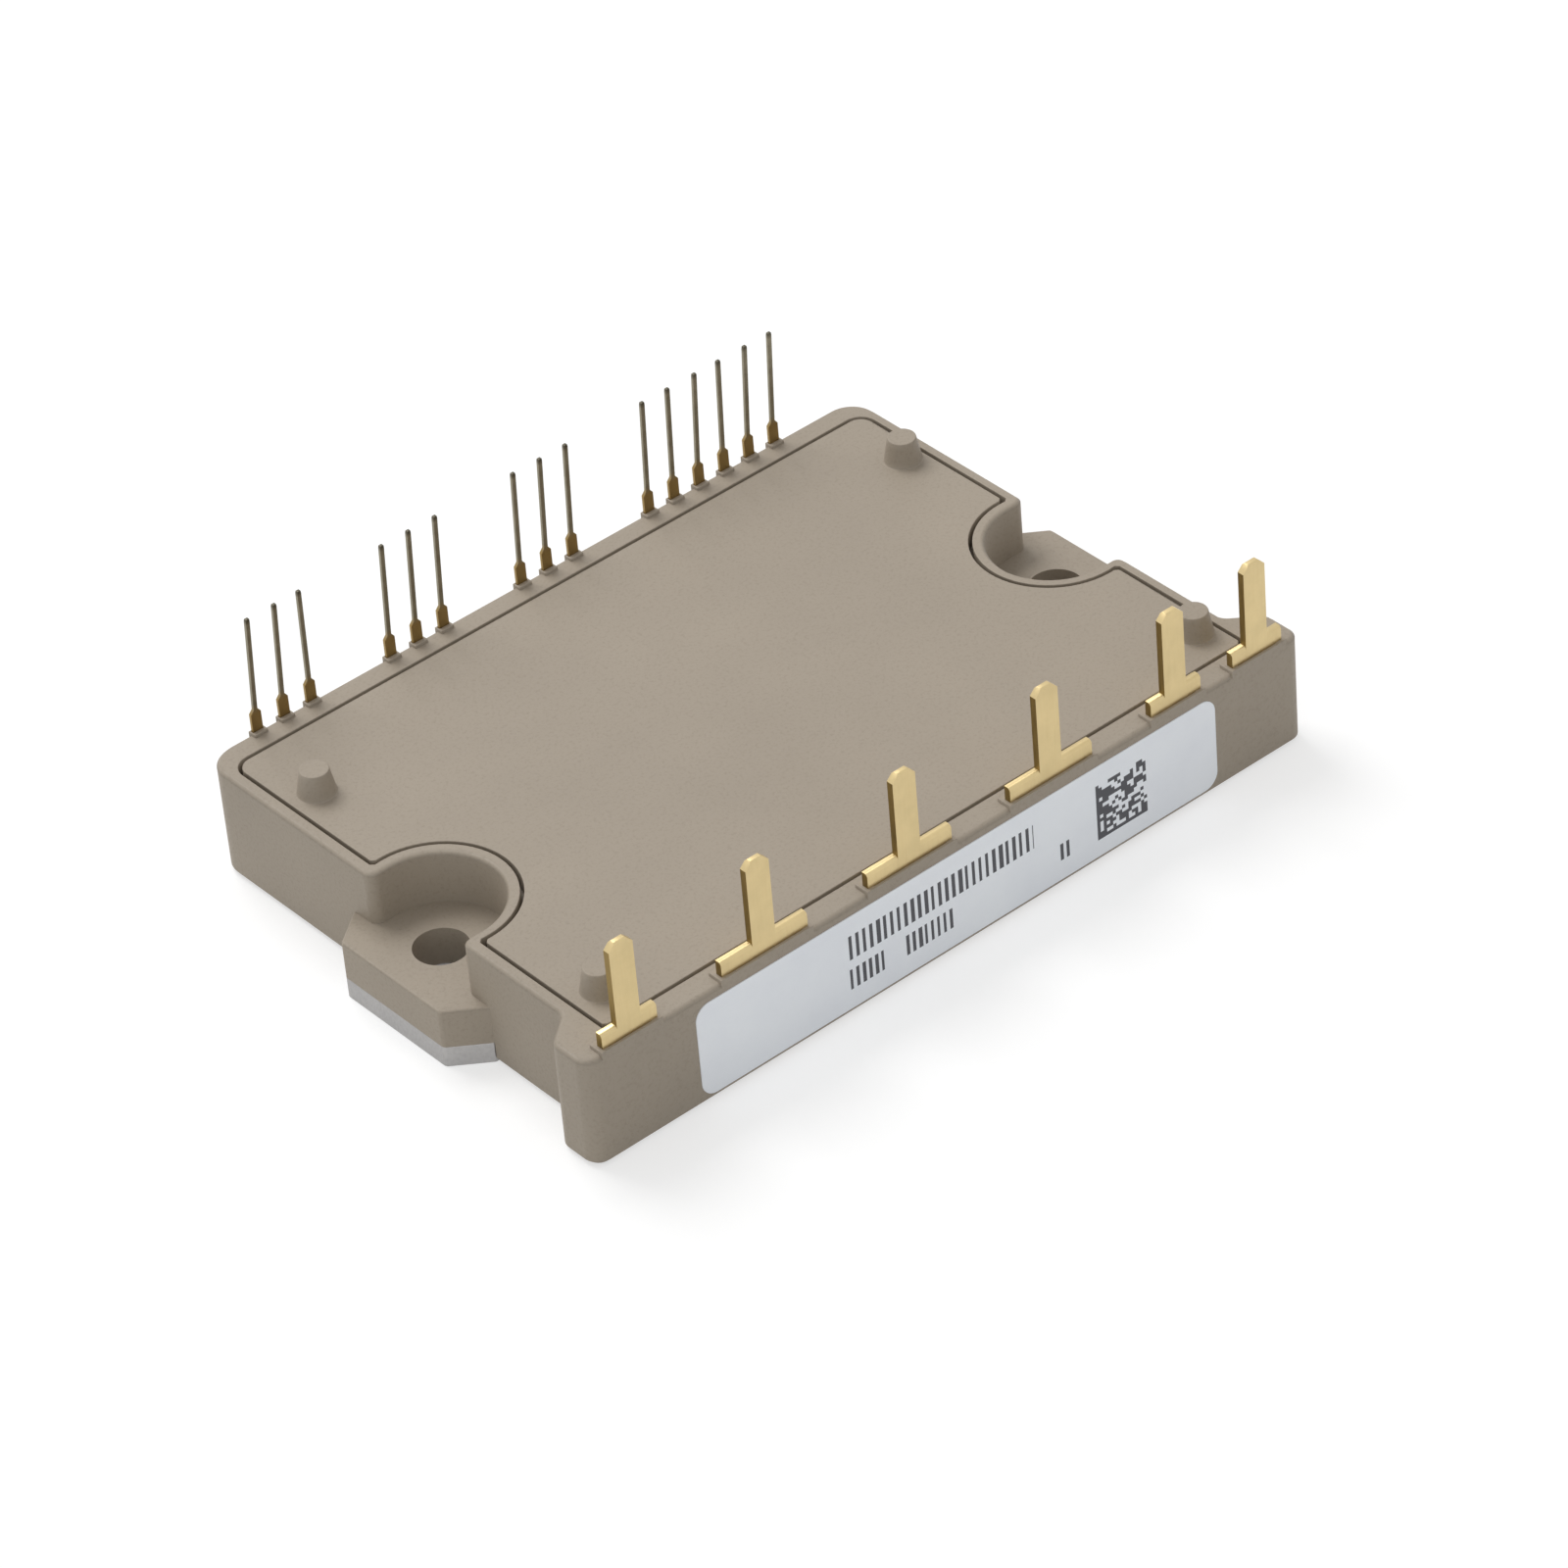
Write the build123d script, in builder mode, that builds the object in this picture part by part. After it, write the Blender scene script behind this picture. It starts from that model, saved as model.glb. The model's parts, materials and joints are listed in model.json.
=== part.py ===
from build123d import *
import os

# Intelligent power module: six transistor switches with their driver board in a flat moulded housing.
# Millimetres. Z points up from the underside of the base plate, X runs along the two rows of
# terminals, and the origin is the middle of the underside.

# Housing plan
body_length = 64.2
body_width = 47.6
back_corner_radius = 2.5
wing_reach = 2.6
wing_depth = 3.7
wing_slope = 2.1
wing_corner_radius = 1.3
wing_root_radius = 1.0

# Housing heights and edges
rim_height = 9.7
housing_lift = 0.1
foot_chamfer = 0.35
rim_chamfer = 0.35

# Mounting ears and the screw recesses above them
ear_lead = 0.3
hole_inset = 1.9
hole_y = -1.4
hole_diameter = 4.3
ear_top = 5.1
ear_tip_width = 11.4
ear_root_width = 15.8
ear_edge_chamfer = 0.2
ear_corner_radius = 0.5
recess_radius = 5.2
recess_mouth_radius = 0.9

# Rim around the lid
side_rim = 0.95
back_rim = 2.1
front_rim = 2.2
recess_rim = 0.95
seam_gap = 0.3
seat_back_radius = 1.5
seat_corner_chamfer = 0.3

# Lid
lid_thickness = 1.6
lid_ledge = 0.9
post_height = 2.1
post_foot_diameter = 3.05
post_top_diameter = 2.25
post_inset = 3.25
post_shift = 0.35
post_back_y = 14.6
post_front_y = -18.0

# Base plate, its seal and the layers on it
plate_thickness = 1.8
plate_skirt = 1.3
plate_clearance = 0.1
plate_corner_radius = 1.5
seal_width = 0.8
seal_height = 0.3
seal_margin = 0.25
insulation_thickness = 0.15
insulation_margin = 0.15
copper_thickness = 0.35
solder_thickness = 0.1
chip_thickness = 0.35

# Control board and the space over and under it
headroom = 1.8
board_thickness = 1.0
board_ledge = 1.2
board_gap = 0.2
board_setback = 9.6
ledge_drop = 2.1

# Main terminals along the front
tab_thickness = 0.6
tab_skin = 0.27
blade_width = 2.15
blade_height = 8.68
blade_tip_chamfer = 0.6
blade_edge_chamfer = 0.12
shoulder_height = 1.25
shoulder_radius = 0.3
shoulder_wide = 8.05
shoulder_narrow = 5.0
root_step = 0.6
tab_boss_height = 0.3
tab_boss_margin = 0.3
tab_boss_depth = 1.4
arm_height = 2.6
foot_width = 3.6
foot_ledge = 3.1
foot_setback = 0.6
end_foot_shift = 3.6
end_tab_inset = 1.75
end_tab_pitch = 8.25
phase_tab_pitch = 13.77
phase_tab_shift = -4.1

# Control pins along the back; an x in the row is a grid place with a pin
pitch = 2.54
pin_row = "xxx  xxx  xxx  xxxxxx"
pin_row_shift = -1.75
pin_thickness = 0.28
pin_width = 0.38
pin_tip_chamfer = 0.04
pin_tip_length = 0.2
pin_height = 10.2
pin_skin = 0.13
pin_shoulder_width = 0.95
pin_shoulder_height = 1.55
pin_shoulder_taper = 0.35
pin_foot_reach = 4.1
pin_boss_height = 0.25
pin_boss_margin = 0.15
pin_boss_depth = 0.8

# Label on the front face
label_length = 50.4
label_width = 8.2
label_thickness = 0.08
label_radius = 1.3
label_x = 0.4
label_drop = 4.9

# Copper lands on the insulating layer
bus_front_margin = 1.2
bus_side_margin = 1.0
bus_back_margin = 1.6
back_bus_depth = 7.4
arc_margin = 0.6
lane_width = 3.2
land_gap = 0.8
signal_strip = 3.6
signal_pad_size = 1.8
signal_split = 0.4

# Chips and bonded wires
igbt_size = 5.4
diode_size = 3.9
chip_margin = 1.7
wire_size = 0.3
wire_foot = 0.9
wire_pitch = 1.0
wire_margin = 0.5
wire_landing = 0.8
bus_landing = 1.3
loop_rise = 0.9
loop_clearance = 0.4
link_pin_size = 0.5
link_pin_stand = 0.5

# Circuits on the control board
driver_stand = 0.1
driver_edge_chamfer = 0.15
lead_pitch = 1.27
lead_width = 0.4
lead_reach = 1.0
lead_thickness = 0.2
lead_foot = 0.4
lead_rise = 0.7
high_driver_length = 5.2
high_driver_width = 4.0
high_driver_height = 1.5
high_driver_lead_count = 4
high_driver_margin = 2.6
low_driver_length = 10.2
low_driver_width = 4.4
low_driver_height = 1.6
low_driver_lead_count = 7
low_driver_margin = 1.0
capacitor_length = 2.0
capacitor_width = 1.25
capacitor_height = 1.0
capacitor_pitch = 3.0
resistor_length = 1.6
resistor_width = 0.8
resistor_height = 0.45
resistor_pitch = 1.6
component_shift = 3.6
component_gap = 1.6

# Heights that follow from the sizes above
seat_height = rim_height - lid_thickness
board_top = seat_height - headroom
board_bottom = board_top - board_thickness
foot_bottom = board_bottom - ledge_drop
foot_top = foot_bottom + tab_thickness
insulation_top = plate_thickness + insulation_thickness
copper_top = insulation_top + copper_thickness
solder_top = copper_top + solder_thickness
chip_top = solder_top + chip_thickness
loop_top = chip_top + loop_rise
long_loop_top = board_bottom - loop_clearance
label_height = rim_height - label_drop

# Edges and places that follow from the sizes above
half_length = body_length / 2
half_width = body_width / 2
wing_end = half_length + wing_reach
ear_end = wing_end + ear_lead
hole_x = half_length - hole_inset
hole_places = ((-hole_x, hole_y), (hole_x, hole_y))
well_inset = lid_ledge + board_ledge
seat_front = front_rim - half_width
hall_front = seat_front + lid_ledge
well_front = hall_front + foot_ledge
well_back = half_width - back_rim - well_inset
well_side = half_length - side_rim - well_inset
well_arc = recess_radius + recess_rim + well_inset
board_front = seat_front + board_setback
tab_front = tab_skin - half_width
tab_back = tab_front + tab_thickness
foot_end = well_front - foot_setback
pin_back = half_width - pin_skin
pin_foot_end = pin_back - pin_thickness - pin_foot_reach
pin_row_middle = (len(pin_row) - 1) / 2
pin_places = [
    pin_row_shift + pitch * (step - pin_row_middle) for step, mark in enumerate(pin_row) if mark == "x"
]

# Each tab: its place, the width of its shoulders, and the place of its foot inside
end_tab_x = half_length - end_tab_inset
tabs = (
    (-end_tab_x, shoulder_narrow, end_foot_shift - end_tab_x),
    (phase_tab_shift - phase_tab_pitch, shoulder_wide, phase_tab_shift - phase_tab_pitch),
    (phase_tab_shift, shoulder_wide, phase_tab_shift),
    (phase_tab_shift + phase_tab_pitch, shoulder_wide, phase_tab_shift + phase_tab_pitch),
    (end_tab_x - end_tab_pitch, shoulder_narrow, end_tab_x - end_tab_pitch),
    (end_tab_x, shoulder_narrow, end_tab_x - end_foot_shift),
)

# Edges of the copper lands and places of the chips on them
bus_end = well_side - bus_side_margin
front_bus_front = well_front + bus_front_margin
front_bus_back = hole_y - well_arc - arc_margin
back_bus_back = well_back - bus_back_margin
back_bus_front = back_bus_back - back_bus_depth
lane_end = hole_x - well_arc - arc_margin
lane_start = lane_end - lane_width
phase_front = front_bus_back + land_gap
phase_back = back_bus_front - signal_strip
phase_width = (lane_start + lane_end - 3 * land_gap) / 3
phase_places = [phase_width / 2 - lane_end + step * (phase_width + land_gap) for step in range(3)]
signal_y = (phase_back + back_bus_front) / 2
high_chip_y = (back_bus_front + back_bus_back) / 2
high_igbt_shift = -phase_width / 4
high_diode_shift = 0.3 * phase_width
low_igbt_y = phase_front + chip_margin + igbt_size / 2
low_diode_y = phase_back - chip_margin - diode_size / 2
gate_shift = wire_margin - igbt_size / 2
signal_places = [
    (x + shift + gate_shift + signal_split, signal_y) for x in phase_places for shift in (high_igbt_shift, 0)
]
link_pin_places = [(x + signal_split, y) for x, y in signal_places]

os.makedirs("parts", exist_ok=True)


def save(part, label):
    """Name a finished piece and write it."""
    part.label = label
    export_step(part, f"parts/{label}.step")
    return part


def body_plan():
    """Outline of the housing's walls, with the wider strip at the front."""
    slope_end = wing_depth - half_width
    slope_start = slope_end + wing_slope
    with BuildSketch() as plan:
        with BuildLine():
            Polyline(
                (0, -half_width),
                (wing_end, -half_width),
                (wing_end, slope_end),
                (half_length, slope_start),
                (half_length, half_width),
                (0, half_width),
            )
            mirror(about=Plane.YZ)
        make_face()
        rows = plan.vertices().filter_by(lambda v: abs(v.X) > 1).group_by(Axis.Y)
        fillet(rows[-1], back_corner_radius)
        rows = plan.vertices().filter_by(lambda v: abs(v.X) > 1).group_by(Axis.Y)
        fillet(rows[0] + rows[1], wing_corner_radius)
        roots = plan.vertices().filter_by(lambda v: abs(v.Y - slope_start) < 0.01)
        fillet(roots, wing_root_radius)
    return plan.sketch


def recessed_plan(outline):
    """The same outline with both screw recesses open to the sides."""
    with BuildSketch() as plan:
        add(outline)
        with Locations(*hole_places):
            Circle(recess_radius, mode=Mode.SUBTRACT)
        with Locations((-half_length, hole_y), (half_length, hole_y)):
            Rectangle(2 * hole_inset, 2 * recess_radius, mode=Mode.SUBTRACT)
        corners = plan.vertices().filter_by(
            lambda v: abs(abs(v.Y - hole_y) - recess_radius) < 0.01 and abs(v.X) > half_length - 0.01
        )
        fillet(corners, recess_mouth_radius)
    return plan.sketch


def ear_plan():
    """Both mounting ears, carried inwards past the side walls."""
    root = half_length - plate_skirt
    with BuildSketch() as plan:
        with BuildLine():
            Polyline(
                (root, hole_y - ear_root_width / 2),
                (half_length, hole_y - ear_root_width / 2),
                (ear_end, hole_y - ear_tip_width / 2),
                (ear_end, hole_y + ear_tip_width / 2),
                (half_length, hole_y + ear_root_width / 2),
                (root, hole_y + ear_root_width / 2),
                close=True,
            )
        make_face()
        fillet(plan.vertices().group_by(Axis.X)[-1], ear_corner_radius)
        mirror(about=Plane.YZ)
    return plan.sketch


def plate_plan(gap=0.0):
    """Outline of the base plate, grown by gap all round."""
    with BuildSketch() as plan:
        Rectangle(body_length - 2 * plate_skirt, body_width - 2 * plate_skirt)
        fillet(plan.vertices(), plate_corner_radius)
        add(ear_plan())
        if gap > 0:
            offset(amount=gap, kind=Kind.INTERSECTION)
    return plan.sketch


def inner_plan(inset, front, back_radius=0.0):
    """Everything inside the rim, moved inwards by inset, with its front edge at the given Y."""
    back = half_width - back_rim - inset
    arc_radius = recess_radius + recess_rim + inset
    with BuildSketch() as plan:
        with Locations((0, (front + back) / 2)):
            Rectangle(2 * (half_length - side_rim - inset), back - front)
        with Locations(*hole_places):
            Circle(arc_radius, mode=Mode.SUBTRACT)
        if back_radius > 0:
            fillet(plan.vertices().group_by(Axis.Y)[-1], back_radius)
            chamfer(plan.vertices().group_by(Axis.Y)[0], seat_corner_chamfer)
            beside = plan.vertices().filter_by(lambda v: abs(v.Y - hole_y) < arc_radius)
            chamfer(beside, seat_corner_chamfer)
    return plan.sketch


def main_terminal(place, shoulder, foot_place):
    """Stamped tab with T shoulders, a root in the front wall and a foot bent into the housing."""
    root = shoulder / 2 - root_step
    low_end = min(place - root, foot_place - foot_width / 2)
    high_end = max(place + root, foot_place + foot_width / 2)
    arm_top = foot_bottom + arm_height
    shoulder_bottom = rim_height + tab_boss_height
    shoulder_top = shoulder_bottom + shoulder_height
    with BuildPart() as terminal:
        with BuildSketch(Plane.XZ.offset(-tab_front)):
            with Locations((place, (rim_height + blade_height + arm_top) / 2)):
                Rectangle(blade_width, rim_height + blade_height - arm_top)
            with Locations((place, (shoulder_bottom + arm_top) / 2)):
                Rectangle(2 * root, shoulder_bottom - arm_top)
            with Locations((place, shoulder_bottom + shoulder_height / 2)):
                Rectangle(shoulder, shoulder_height)
            with Locations(((low_end + high_end) / 2, (foot_bottom + arm_top) / 2)):
                Rectangle(high_end - low_end, arm_top - foot_bottom)
        extrude(amount=-tab_thickness)
        with BuildSketch(Plane.XY.offset(foot_bottom)):
            with Locations((foot_place, (tab_back + foot_end) / 2)):
                Rectangle(foot_width, foot_end - tab_back)
        extrude(amount=tab_thickness)
        tip = terminal.edges().filter_by(Axis.Y).group_by(Axis.Z)[-1]
        chamfer(tip, blade_tip_chamfer)
        crown = terminal.edges().filter_by(Axis.X).group_by(Axis.Z)[-1]
        chamfer(crown, blade_edge_chamfer)
        upper_edges = terminal.edges().filter_by(Axis.X).filter_by(
            lambda e: abs(e.center().Z - shoulder_top) < 0.01 and e.center().Y < tab_front + 0.01
        )
        fillet(upper_edges, shoulder_radius)
    return terminal.part


def control_pin(place):
    """Thin flat pin with a tapered shoulder, its root in the back wall and a foot over the board."""
    half = pin_width / 2
    tip = half - pin_tip_chamfer
    wide = pin_shoulder_width / 2
    shoulder_top = rim_height + pin_boss_height + pin_shoulder_height
    neck = shoulder_top + pin_shoulder_taper
    top = rim_height + pin_height
    with BuildPart() as pin:
        with BuildSketch(Plane.XZ.offset(-pin_back)):
            with BuildLine():
                Polyline(
                    (place - wide, board_top),
                    (place + wide, board_top),
                    (place + wide, shoulder_top),
                    (place + half, neck),
                    (place + half, top - pin_tip_length),
                    (place + tip, top),
                    (place - tip, top),
                    (place - half, top - pin_tip_length),
                    (place - half, neck),
                    (place - wide, shoulder_top),
                    close=True,
                )
            make_face()
        extrude(amount=pin_thickness)
        with BuildSketch(Plane.XY.offset(board_top)):
            with Locations((place, pin_foot_end + pin_foot_reach / 2)):
                Rectangle(pin_shoulder_width, pin_foot_reach)
        extrude(amount=pin_thickness)
    return pin.part


def wire_loop(start, end, start_height, end_height, top, across, along="Y"):
    """One bonded wire: up from its first foot to the top of its loop, and down to its second."""
    half = wire_foot / 2
    middle = (start + end) / 2
    plane = Plane.YZ.offset(across) if along == "Y" else Plane.XZ.offset(-across)
    with BuildSketch(plane) as profile:
        with BuildLine():
            Polyline(
                (start - half, start_height),
                (start + half, start_height),
                (middle, top - wire_size),
                (end - half, end_height),
                (end + half, end_height),
                (middle, top),
                close=True,
            )
        make_face()
    return extrude(profile.sketch, amount=wire_size / 2, both=True)


def copper_land(*boxes):
    """One copper land made of boxes given as (left, front, right, back)."""
    with BuildPart() as land:
        with BuildSketch(Plane.XY.offset(insulation_top)):
            for left, front, right, back in boxes:
                with Locations(((left + right) / 2, (front + back) / 2)):
                    Rectangle(right - left, back - front)
        extrude(amount=copper_thickness)
    return land.part


def blocks(places, length, width, height, base):
    """Equal square-edged blocks standing on the same surface."""
    with BuildPart() as group:
        with BuildSketch(Plane.XY.offset(base)):
            with Locations(*places):
                Rectangle(length, width)
        extrude(amount=height)
    return group.part


def driver_ic(x, y, length, width, height, lead_count):
    """Driver circuit in its black package, with sloping leads down to the board on both long sides."""
    edge = width / 2
    toe = edge + lead_reach
    root = edge - lead_thickness
    lead_top = board_top + lead_rise
    with BuildPart() as package:
        with BuildSketch(Plane.XY.offset(board_top + driver_stand)):
            with Locations((x, y)):
                Rectangle(length, width)
        extrude(amount=height - driver_stand)
        chamfer(package.edges().group_by(Axis.Z)[-1], driver_edge_chamfer)
        with BuildSketch(Plane.YZ.offset(x - (lead_count - 1) * lead_pitch / 2 - lead_width / 2)):
            for side in (-1, 1):
                with BuildLine():
                    Polyline(
                        (y + side * root, lead_top),
                        (y + side * toe, board_top + lead_thickness),
                        (y + side * toe, board_top),
                        (y + side * (toe - lead_foot), board_top),
                        (y + side * root, lead_top - lead_thickness),
                        close=True,
                    )
                make_face()
        lead_pair = extrude(amount=lead_width)
        for number in range(1, lead_count):
            add(lead_pair.moved(Location((number * lead_pitch, 0, 0))))
    return package.part


# Stamped terminals and pins come first, because the housing is moulded around them
terminals = []
for number, (place, shoulder, foot_place) in enumerate(tabs, start=1):
    terminals.append(save(main_terminal(place, shoulder, foot_place), f"main_terminal_{number}"))

pins = []
for number, place in enumerate(pin_places, start=1):
    pins.append(save(control_pin(place), f"control_pin_{number:02d}"))

# Plans shared by the housing and what fits in it
walls = body_plan()
upper_walls = recessed_plan(walls)
ears = ear_plan()
plate_outline = plate_plan()
plate_pocket = plate_plan(plate_clearance)
seat = inner_plan(0, seat_front, seat_back_radius)
lid_outline = inner_plan(seam_gap, seat_front + seam_gap, seat_back_radius - seam_gap)
hall = inner_plan(lid_ledge, hall_front)
well = inner_plan(well_inset, well_front)
middle = inner_plan(well_inset, hall_front)
seal_outer = inner_plan(
    well_inset - seal_margin - seal_width, well_front - seal_margin - seal_width
)
seal_inner = inner_plan(well_inset - seal_margin, well_front - seal_margin)
insulation_outline = inner_plan(well_inset + insulation_margin, well_front + insulation_margin)
board_outline = inner_plan(lid_ledge + board_gap, board_front)

# Seal bead between the base plate and the housing
with BuildPart() as base_seal:
    with BuildSketch(Plane.XY.offset(plate_thickness)):
        add(seal_outer)
        add(seal_inner, mode=Mode.SUBTRACT)
    extrude(amount=seal_height)
save(base_seal.part, "base_seal")

# Moulded housing with ears, screw recesses, lid seat and the ledges for board and terminal feet
with BuildPart() as housing:
    with BuildSketch(Plane.XY.offset(housing_lift)):
        add(walls)
    extrude(amount=ear_top - housing_lift)
    chamfer(housing.faces().sort_by(Axis.Z)[0].edges(), foot_chamfer)
    with BuildSketch(Plane.XY.offset(ear_top)):
        add(upper_walls)
    extrude(amount=rim_height - ear_top)
    chamfer(housing.faces().sort_by(Axis.Z)[-1].edges(), rim_chamfer)
    with BuildSketch(Plane.XY.offset(plate_thickness)):
        add(ears)
    extrude(amount=ear_top - plate_thickness)
    ear_edges = housing.edges().filter_by(
        lambda e: abs(e.center().X) > half_length + 0.1 and abs(e.center().Z - ear_top) < 0.01
    )
    chamfer(ear_edges, ear_edge_chamfer)
    with BuildSketch(Plane.XY):
        add(plate_pocket)
    extrude(amount=plate_thickness, mode=Mode.SUBTRACT)
    with BuildSketch(Plane.XY.offset(seat_height)):
        add(seat)
    extrude(amount=lid_thickness, mode=Mode.SUBTRACT)
    with BuildSketch(Plane.XY.offset(board_bottom)):
        add(hall)
    extrude(amount=seat_height - board_bottom, mode=Mode.SUBTRACT)
    with BuildSketch(Plane.XY.offset(foot_bottom)):
        add(middle)
    extrude(amount=board_bottom - foot_bottom, mode=Mode.SUBTRACT)
    with BuildSketch(Plane.XY.offset(plate_thickness)):
        add(well)
    extrude(amount=foot_bottom - plate_thickness, mode=Mode.SUBTRACT)
    with BuildSketch(Plane.XY):
        with Locations(*hole_places):
            Circle(hole_diameter / 2)
    extrude(amount=ear_top, mode=Mode.SUBTRACT)
    with BuildSketch(Plane.XY.offset(seat_height)):
        with Locations(*[(place, half_width - pin_boss_depth / 2) for place in pin_places]):
            Rectangle(pin_shoulder_width + 2 * pin_boss_margin, pin_boss_depth)
    extrude(amount=rim_height + pin_boss_height - seat_height)
    with BuildSketch(Plane.XY.offset(seat_height)):
        for place, shoulder, _ in tabs:
            with Locations((place, tab_boss_depth / 2 - half_width)):
                Rectangle(shoulder + 2 * tab_boss_margin, tab_boss_depth)
    extrude(amount=rim_height + tab_boss_height - seat_height)
    add(base_seal.part, mode=Mode.SUBTRACT)
    add(terminals + pins, mode=Mode.SUBTRACT)
save(housing.part, "housing")

# Flush lid with its four round posts
with BuildPart() as lid:
    with BuildSketch(Plane.XY.offset(seat_height)):
        add(lid_outline)
    extrude(amount=lid_thickness)
    post_x = half_length - post_inset
    with Locations(Location((post_shift, 0, rim_height))):
        for y in (post_front_y, post_back_y):
            with Locations((-post_x, y), (post_x, y)):
                Cone(
                    post_foot_diameter / 2,
                    post_top_diameter / 2,
                    post_height,
                    align=(Align.CENTER, Align.CENTER, Align.MIN),
                )
save(lid.part, "lid")

# Base plate with its two ears and screw holes
with BuildPart() as base_plate:
    with BuildSketch():
        add(plate_outline)
        with Locations(*hole_places):
            Circle(hole_diameter / 2, mode=Mode.SUBTRACT)
    extrude(amount=plate_thickness)
save(base_plate.part, "base_plate")

# Insulating layer on the plate
with BuildPart() as insulation:
    with BuildSketch(Plane.XY.offset(plate_thickness)):
        add(insulation_outline)
    extrude(amount=insulation_thickness)
save(insulation.part, "insulating_layer")

# Copper lands: supply with its lane to the back, return, one land for each phase, and signal pads
supply_pad = copper_land(
    (-bus_end, back_bus_front, bus_end, back_bus_back),
    (lane_start, front_bus_front, lane_end, back_bus_front),
    (lane_start, front_bus_front, bus_end, front_bus_back),
)
return_pad = copper_land((-bus_end, front_bus_front, lane_start - land_gap, front_bus_back))
lands = [save(supply_pad, "supply_pad"), save(return_pad, "return_pad")]
for number, x in enumerate(phase_places, start=1):
    reach = phase_width / 2
    lands.append(save(copper_land((x - reach, phase_front, x + reach, phase_back)), f"phase_pad_{number}"))
signal_pads = blocks(signal_places, signal_pad_size, signal_pad_size, copper_thickness, insulation_top)
lands.append(save(signal_pads, "signal_pads"))

# Transistor and diode chips, each with its layer of solder
igbt_places = []
diode_places = []
chips = []
for number, x in enumerate(phase_places, start=1):
    for side, igbt_place, diode_place in (
        ("high", (x + high_igbt_shift, high_chip_y), (x + high_diode_shift, high_chip_y)),
        ("low", (x, low_igbt_y), (x, low_diode_y)),
    ):
        igbt_places.append(igbt_place)
        diode_places.append(diode_place)
        igbt_chip = blocks([igbt_place], igbt_size, igbt_size, chip_thickness, solder_top)
        diode_chip = blocks([diode_place], diode_size, diode_size, chip_thickness, solder_top)
        chips.append(save(igbt_chip, f"igbt_chip_{side}_{number}"))
        chips.append(save(diode_chip, f"diode_chip_{side}_{number}"))
with BuildPart() as solder:
    with BuildSketch(Plane.XY.offset(copper_top)):
        with Locations(*igbt_places):
            Rectangle(igbt_size, igbt_size)
        with Locations(*diode_places):
            Rectangle(diode_size, diode_size)
    extrude(amount=solder_thickness)
save(solder.part, "die_solder")

# Bonded wires between chips, lands and the feet of the main terminals, in pairs; one to each gate
wires = []
igbt_landing = igbt_size / 4
diode_landing = diode_size / 4
for x in phase_places:
    for shift in (-wire_pitch / 2, wire_pitch / 2):
        start = x + high_igbt_shift + igbt_landing
        end = x + high_diode_shift - diode_landing
        wires.append(wire_loop(start, end, chip_top, chip_top, loop_top, high_chip_y + shift, "X"))
        start = phase_back - wire_landing
        end = high_chip_y - diode_landing - wire_size
        out_x = x + high_diode_shift + shift
        wires.append(wire_loop(start, end, copper_top, chip_top, loop_top, out_x))
        start = low_igbt_y + igbt_landing
        end = low_diode_y - diode_landing
        wires.append(wire_loop(start, end, chip_top, chip_top, loop_top, x + shift))
        start = front_bus_back - wire_landing
        end = low_igbt_y - igbt_landing
        wires.append(wire_loop(start, end, copper_top, chip_top, loop_top, x + shift))
    start = signal_y + signal_split
    end = high_chip_y - igbt_size / 2 + wire_margin
    gate_x = x + high_igbt_shift + gate_shift
    wires.append(wire_loop(start, end, copper_top, chip_top, loop_top, gate_x))
    start = low_igbt_y + igbt_size / 2 - wire_margin
    end = signal_y - signal_split
    wires.append(wire_loop(start, end, chip_top, copper_top, loop_top, x + gate_shift))
for number, (place, shoulder, foot_place) in enumerate(tabs, start=1):
    start = foot_end - wire_landing
    end = phase_front + wire_landing if number in (2, 3, 4) else front_bus_front + bus_landing
    for shift in (-wire_pitch / 2, wire_pitch / 2):
        wires.append(wire_loop(start, end, foot_top, copper_top, long_loop_top, foot_place + shift))
with BuildPart() as bond_wires:
    add(wires)
save(bond_wires.part, "bond_wires")

# Square pins that carry the signals up from their pads to the control board
link_pins = blocks(
    link_pin_places, link_pin_size, link_pin_size, board_top + link_pin_stand - copper_top, copper_top
)
save(link_pins, "link_pins")

# Control board on its ledge, with its circuits
with BuildPart() as control_board:
    with BuildSketch(Plane.XY.offset(board_bottom)):
        add(board_outline)
    extrude(amount=board_thickness)
    add(link_pins, mode=Mode.SUBTRACT)
save(control_board.part, "control_board")

high_driver_y = pin_foot_end - high_driver_margin - lead_reach - high_driver_width / 2
for number, x in enumerate(phase_places, start=1):
    driver = driver_ic(
        x,
        high_driver_y,
        high_driver_length,
        high_driver_width,
        high_driver_height,
        high_driver_lead_count,
    )
    save(driver, f"high_side_driver_{number}")
low_driver_y = board_front + low_driver_margin + lead_reach + low_driver_width / 2
low_driver = driver_ic(
    phase_places[1],
    low_driver_y,
    low_driver_length,
    low_driver_width,
    low_driver_height,
    low_driver_lead_count,
)
save(low_driver, "low_side_driver")

first_y = high_driver_y - high_driver_width / 2 - lead_reach - component_gap
capacitor_rows = (first_y, first_y - capacitor_pitch)
capacitor_places = [(x + component_shift, y) for x in phase_places for y in capacitor_rows]
capacitors = blocks(capacitor_places, capacitor_length, capacitor_width, capacitor_height, board_top)
save(capacitors, "chip_capacitors")
second_y = first_y - capacitor_pitch - component_gap
resistor_rows = (second_y, second_y - resistor_pitch)
resistor_places = [(x - component_shift, y) for x in phase_places for y in resistor_rows]
resistors = blocks(resistor_places, resistor_length, resistor_width, resistor_height, board_top)
save(resistors, "chip_resistors")

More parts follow.
